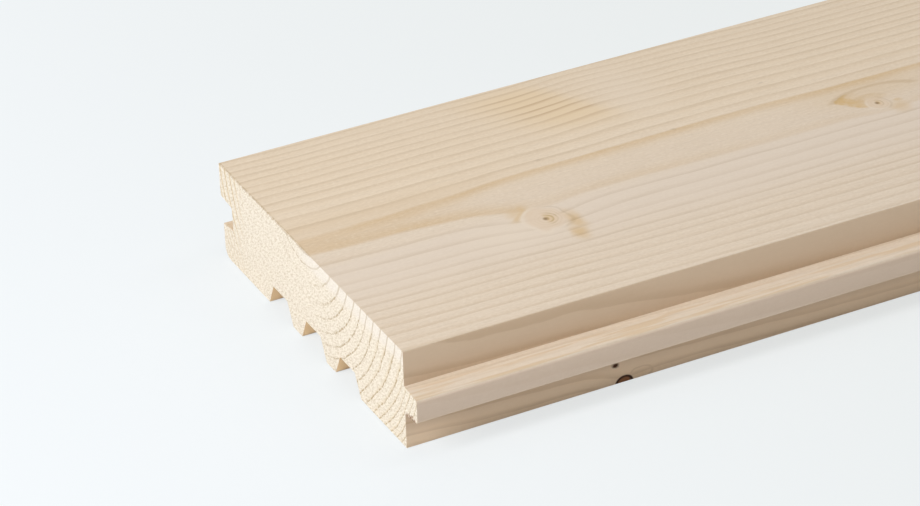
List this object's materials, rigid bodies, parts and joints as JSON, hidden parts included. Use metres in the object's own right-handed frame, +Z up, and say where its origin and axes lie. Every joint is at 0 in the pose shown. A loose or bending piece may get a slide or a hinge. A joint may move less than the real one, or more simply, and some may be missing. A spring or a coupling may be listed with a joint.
{
  "type": "floorboard",
  "caption": "Planed softwood floorboard with a tongue along one edge, a groove along the other and relief channels in the underside.",
  "frame": {"origin": "on the floor, under the middle of the board's length and overall width, tongue included", "axes": "+X along the length, -Y towards the tongue, +Y towards the groove, +Z up from the underside to the tread face"},
  "size_m": [1.8, 0.1168, 0.028],
  "materials": {
    "planed_spruce": "planed, unfinished"
  },
  "bodies": {
    "root": {"floorboard": "planed_spruce"}
  },
  "joints": []
}
